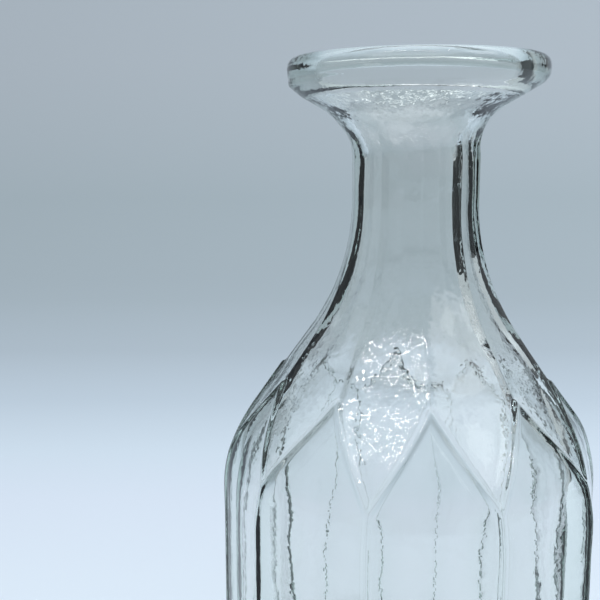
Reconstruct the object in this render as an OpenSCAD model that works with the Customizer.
// Antique water bottle of pressed glass: a panelled body under pointed arches,
// a fluted neck and a wide funnel mouth with a thick rolled lip.
// Millimetres, +Z up, origin at the middle of the foot, on the table.

/* [Panels and arches] */
// Number of panels round the body, each under one pointed arch
sides = 10; // [8:2:14]
// Height above the table at which neighbouring arches part from the upright rib
arch_foot_z = 98; // [90:0.5:102]
// Height of an arch from that parting to its point
arch_h = 24.4; // [18:0.2:27]
// How full the arch is: 1 has straight sides, more bends them outwards
arch_swell = 1.2; // [1:0.05:1.6]
// Width of the raised ribs
rib_w = 2.6; // [1.8:0.1:3.6]
// Height of the raised ribs above the glass beside them
rib_h = 0.8; // [0.4:0.1:1.4]

/* [Body and shoulder] */
// Width of the body over two opposite panels
body_w = 109.2; // [98:0.2:116]
// Height above the table at which the shoulder starts to turn in
shoulder_z = 85.2; // [76:0.2:89]
// Height of the shoulder, from there up to the straight neck
shoulder_h = 89.6; // [82:0.2:98]
// Outward curve at the bottom of the shoulder, as a share of the largest radii that fit
shoulder_bend = 0.37; // [0.3:0.01:0.4]
// Inward curve from the shoulder into the neck, as a share of the largest radii that fit
neck_bend = 0.54; // [0.44:0.01:0.56]

/* [Neck and mouth] */
// Width of the neck over two opposite flutes
neck_w = 36.6; // [33:0.2:42]
// Height of the straight neck
neck_h = 14.5; // [8:0.5:26]
// Height of the flared mouth under the lip
flare_h = 17.7; // [15:0.1:20]
// Angle from upright at which the flare opens
flare_angle = 60; // [52:0.5:62]
// Radius of the curve where the neck turns out into the flare
flare_round = 14; // [11:0.5:15]
// Radius of the curve by which each flute runs out under the flare
flute_end_round = 9; // [7:0.2:9.6]
// Thickness of the lip
lip_h = 9; // [7:0.1:9.8]
// How far the lip stands out past the flare
lip_out = 1.7; // [0.8:0.1:2.4]

/* [Glass thickness] */
// Radius of the straight bore in the neck
bore_r = 14; // [11.5:0.1:15]
// Thickness of the body wall at the middle of a panel
wall = 4; // [3:0.1:6]
// Thickness of the flare
flare_wall = 3.4; // [2.6:0.1:4.2]
// Thickness of the base at its middle, over the kick
base_wall = 8; // [5:0.5:12]
// Radius of the inside curve between wall and base
inner_round = 12; // [6:0.5:14]

/* [Foot] */
// Height of the base piece, whose top is the straight wall's start
base_h = 28; // [27:1:36]
// Radius of the curve between the wall and the foot
heel_round = 8; // [4:0.5:10]
// Radius of the hollow kick under the base
kick_r = 36; // [28:0.5:39]
// Height of the hollow kick under the base
kick_h = 4; // [2:0.5:6]

/* [Hidden] */

glass = [0.80, 0.90, 0.87, 0.45];
strip = 2.4; // height of one strip of the faces that meet in an arch
overlap = 0.3; // how far the upright ribs run up into the arches
reach = 100; // half the length of the cutting prisms, past the widest form
half_turn = 180 / sides; // from the middle of a panel to its corner
front = -90; // direction that the first panel faces
inside = 5; // where a flute's wedge starts, well within the hollow
seam = front + half_turn / 2; // where turned forms start, clear of corners and ridges
flat = cos(half_turn); // a flat's distance from the axis, as a share of its corner's
arch_z = arch_foot_z + arch_h; // point of the arches
crown_z = arch_z + 10; // where shoulder and neck meet
neck_z = shoulder_z + shoulder_h; // start of the straight neck
flare_z = neck_z + neck_h;
lip_z = flare_z + flare_h;
body_d = body_w / 2; // distance of a panel from the axis
neck_d = neck_w / 2;
// Sum of the two radii at which the shoulder's curves would meet with no straight between them.
radii = ((body_d - neck_d) ^ 2 + shoulder_h ^ 2) / (2 * (body_d - neck_d));
shoulder_round = shoulder_bend * radii;
neck_round = neck_bend * radii;
neck_r = neck_d / flat; // over the ridges between the flutes
floor_z = kick_h + base_wall;
inner_d = body_d - wall;

// ---- Curved sides ----

// The shoulder's side is an outward arc, a straight and an inward arc that touch.
// Lean of the straight from upright.
function lean(gap, height, arcs) = atan2(height, arcs - gap) - acos(arcs / norm([arcs - gap, height]));

// Distance from the axis at height h over the shoulder's start.
function side_at(h, wide, narrow, height, r1, r2) =
    let (tilt = lean(wide - narrow, height, r1 + r2), top = height - r2 * sin(tilt))
    h <= 0 ? wide
    : h < r1 * sin(tilt) ? wide - r1 + sqrt(r1 * r1 - h * h)
    : h < top ? wide - r1 + r1 * cos(tilt) - (h - r1 * sin(tilt)) * tan(tilt)
    : h < height ? narrow + r2 - sqrt(r2 * r2 - (height - h) ^ 2)
    : narrow;

// The same side as a filled outline from the axis, from height low up to height high.
module side(wide, narrow, height, r1, r2, low, high) {
    z0 = shoulder_z;
    z1 = shoulder_z + height;
    tilt = lean(wide - narrow, height, r1 + r2);
    a = [wide - r1 + r1 * cos(tilt), z0 + r1 * sin(tilt)];
    b = [narrow + r2 - r2 * cos(tilt), z1 - r2 * sin(tilt)];
    intersection() {
        translate([-reach, low])
            square([2 * reach, high - low]);
        union() {
            if (low < z0)
                translate([0, low - 1])
                    square([wide, z0 - low + 1]);
            if (low < a[1])
                intersection() {
                    translate([wide - r1, z0])
                        circle(r = r1, $fn = 180);
                    translate([0, z0 - 1])
                        square([wide + 1, a[1] - z0 + 1]);
                }
            if (high > a[1])
                difference() {
                    polygon([[0, a[1] - 1], [a[0] - 1, a[1] - 1], a, b, [narrow + r2, z1], [0, z1]]);
                    translate([narrow + r2, z1])
                        circle(r = r2, $fn = 180);
                }
            if (high > z1)
                translate([0, z1 - 1])
                    square([narrow, high - z1 + 2]);
        }
    }
}

// Filled outline of a flare from the axis: an arc from upright and then a cone, up to height high.
module flare(r, round, z0, high) {
    a = [r + round - round * cos(flare_angle), z0 + round * sin(flare_angle)];
    difference() {
        polygon([[0, z0], [r + round, z0], a, [a[0] + (high - a[1]) * tan(flare_angle), high], [0, high]]);
        translate([r + round, z0])
            circle(r = round, $fn = 180);
    }
}

// Start of the inside flare, set so that the cone has the wanted thickness.
inner_flare_round = flare_round + flare_wall;
flare_step = (bore_r - neck_r + (inner_flare_round - flare_round) * (1 - cos(flare_angle))
              + flare_wall * cos(flare_angle)) / tan(flare_angle);
inner_flare_z = flare_z + flare_step + (flare_round - inner_flare_round + flare_wall) * sin(flare_angle);
inner_lip_r = bore_r + inner_flare_round * (1 - cos(flare_angle))
              + (lip_z - inner_flare_z - inner_flare_round * sin(flare_angle)) * tan(flare_angle);

module turned() {
    rotate([0, 0, seam])
        rotate_extrude($fn = 120)
            children();
}

// The whole hollow inside.
module hollow() {
    turned()
        union() {
            translate([0, floor_z])
                square([inner_d - inner_round, inner_round]);
            intersection() {
                translate([inner_d - inner_round, floor_z + inner_round])
                    circle(r = inner_round, $fn = 120);
                translate([0, floor_z])
                    square([inner_d, inner_round]);
            }
            side(inner_d, bore_r, shoulder_h, shoulder_round - wall, neck_round + neck_d - bore_r,
                 floor_z + inner_round, inner_flare_z);
            flare(bore_r, inner_flare_round, inner_flare_z, lip_z + 1);
        }
}

// ---- Arches: the crease in which a panel and two flutes meet ----

function face_at(z) = side_at(z - shoulder_z, body_d, neck_d, shoulder_h, shoulder_round, neck_round);
// 0 at the foot of the arches and 1 at their points.
function rise(z) = min(1, max(0, (z - arch_foot_z) / arch_h)) ^ arch_swell;
// Distances of a panel and of a flute from the axis.
function panel_at(z) = face_at(z) * (1 + (1 / flat - 1) * rise(z));
function flute_at(z) = face_at(z) * (1 / flat - (1 / flat - 1) * rise(z));
// Half the width of a panel at the crease.
function half_at(z) =
    let (tangent = (flute_at(z) / panel_at(z) - flat) / sin(half_turn)) panel_at(z) * tangent;

// Heights from low to high, with both ends and about a strip apart.
function levels(low, high) =
    let (n = ceil((high - low) / strip)) [for (i = [0:n]) low + (high - low) * i / n];

arch_levels = levels(arch_foot_z, arch_z);

// Solid with one curved face to each side of the bottle: its half outline is given as a child.
module faced(turn, lift) {
    intersection_for (k = [0:sides / 2 - 1])
        rotate([0, 0, front + turn + k * 2 * half_turn])
            rotate([90, 0, 0])
                linear_extrude(height = 2 * reach, center = true)
                    for (side = [0, 1])
                        mirror([side, 0])
                            translate([lift, 0])
                                children();
}

module core(lift, low, high) {
    translate([-lift, low])
        square([lift + 1, high - low]);
}

// The panels' faces, out of the way above the arches.
module panels(low, high, lift = 0) {
    faced(0, lift) {
        core(lift, low, high);
        polygon(concat([[0, low]], [for (z = levels(low, arch_foot_z)) [face_at(z), z]],
                       [for (i = [1:len(arch_levels) - 1]) [panel_at(arch_levels[i]), arch_levels[i]]],
                       [[reach, arch_z], [reach, high], [0, high]]));
    }
}

// The flutes' faces, out of the way below the arches.
module flutes(low, high, lift = 0) {
    faced(half_turn, lift) {
        core(lift, low, high);
        polygon(concat([[0, low], [reach, low], [reach, arch_foot_z]],
                       [for (z = arch_levels) [flute_at(z), z]], [[0, arch_z]]));
        side(body_d, neck_d, shoulder_h, shoulder_round, neck_round, arch_z, high);
    }
}

// ---- Ribs ----

// Upright slabs through the corners.
module upright_ribs(low, high) {
    for (k = [0:sides / 2 - 1])
        rotate([0, 0, front + (2 * k + 1) * half_turn])
            translate([-reach, -rib_w / 2, low])
                cube([2 * reach, rib_w, high - low]);
}

// Half an arch's band: wider than the rib by its slant.
arch_half = half_at(arch_foot_z);
arch_lean = atan2(arch_half, norm([arch_h, face_at(arch_foot_z) - face_at(arch_z) / flat]));
band = rib_w / 2 / cos(arch_lean);

// Heights of the arch's bends, clear of the strips' edges, and the last of them.
bends = [for (i = [0.6:4.6]) arch_foot_z + arch_h * i / 5.6];
last = len(bends) - 1;
// Height at which the bands start, inside the upright ribs.
below = arch_foot_z - arch_h * 0.07;
// Height by which the band's outer edge comes to its point over the arch's.
tip_h = band * (arch_z - bends[last]) / half_at(bends[last]);

// Slabs that follow the arches, seen square on to each panel. They cross a little at the point.
module arch_ribs() {
    for (k = [0:sides - 1])
        rotate([0, 0, front + k * 2 * half_turn])
            rotate([90, 0, 90])
                linear_extrude(height = reach)
                    for (side = [0, 1])
                        mirror([side, 0])
                            polygon(concat([[half_at(below) + band, below]],
                                           [for (z = bends) [half_at(z) + band, z]],
                                           [[-0.2, arch_z + tip_h]],
                                           [[-band, arch_z]],
                                           [for (i = [last:-1:0]) [half_at(bends[i]) - band, bends[i]]],
                                           [[half_at(below) - band, below]]));
}

// ---- Pieces of glass ----

// The body's cross-section with its ribs.
module section() {
    corner_r = body_d / flat;
    corners = [for (k = [0:sides - 1]) front + (2 * k + 1) * half_turn];
    polygon([for (angle = corners) corner_r * [cos(angle), sin(angle)]]);
    for (angle = corners)
        rotate(angle)
            translate([corner_r + rib_h - rib_w / 2, 0])
                circle(r = rib_w / 2, $fn = 32);
}

// Turned form that rounds the heel off to the foot.
module heel() {
    out = body_d / flat + rib_h;
    turned()
        union() {
            square([out - heel_round, base_h]);
            translate([0, heel_round])
                square([out, base_h - heel_round]);
            translate([out - heel_round, heel_round])
                circle(r = heel_round, $fn = 120);
        }
}

// Hollow under the base: part of a ball.
module kick() {
    ball_r = (kick_r * kick_r + kick_h * kick_h) / (2 * kick_h);
    translate([0, 0, kick_h - ball_r])
        sphere(r = ball_r, $fn = 180);
}

module base() {
    color(glass)
        difference() {
            intersection() {
                linear_extrude(height = base_h)
                    section();
                heel();
            }
            kick();
            hollow();
        }
}

module body_wall() {
    color(glass)
        difference() {
            translate([0, 0, base_h])
                linear_extrude(height = shoulder_z - base_h)
                    section();
            hollow();
        }
}

module shoulder() {
    color(glass)
        difference() {
            union() {
                intersection() {
                    panels(shoulder_z, crown_z);
                    flutes(shoulder_z, crown_z);
                }
                intersection() {
                    panels(shoulder_z, crown_z, rib_h);
                    flutes(shoulder_z, crown_z, rib_h);
                    union() {
                        upright_ribs(shoulder_z, arch_foot_z + overlap);
                        arch_ribs();
                    }
                }
            }
            hollow();
        }
}

// One wedge of the neck for each flute, from a ridge to the next.
module neck() {
    slope = tan(half_turn);
    color(glass)
        for (k = [0:sides - 1])
            rotate([0, 0, front + (2 * k + 1) * half_turn])
                difference() {
                    intersection() {
                        translate([0, 0, crown_z])
                            linear_extrude(height = flare_z - crown_z)
                                polygon([[inside, -inside * slope], [reach, -reach * slope],
                                         [reach, reach * slope], [inside, inside * slope]]);
                        rotate([90, 0, 0])
                            linear_extrude(height = 2 * reach, center = true)
                                side(body_d, neck_d, shoulder_h, shoulder_round, neck_round,
                                     crown_z, flare_z);
                    }
                    hollow();
                }
}

module mouth_flare() {
    color(glass)
        difference() {
            intersection() {
                turned()
                    flare(neck_r, flare_round, flare_z, lip_z);
                faced(half_turn, 0)
                    difference() {
                        translate([0, flare_z])
                            square([reach, flare_h]);
                        translate([neck_d + flute_end_round, flare_z])
                            circle(r = flute_end_round, $fn = 120);
                    }
            }
            hollow();
        }
}

module lip_ring() {
    edge = neck_r + flare_round * (1 - cos(flare_angle))
           + (flare_h - flare_round * sin(flare_angle)) * tan(flare_angle);
    bead = lip_h / 2;
    middle = edge + lip_out - bead;
    filled = [middle + 0.9 * bead, lip_z + 0.8 * bead]; // a point in the bead, close to its outside
    color(glass)
        turned()
            union() {
                translate([middle, lip_z + bead])
                    circle(r = bead, $fn = 120);
                polygon([[inner_lip_r, lip_z], [edge, lip_z], filled, [middle, lip_z + bead],
                         [middle - bead, lip_z + bead]]);
            }
}

base();
body_wall();
shoulder();
neck();
mouth_flare();
lip_ring();
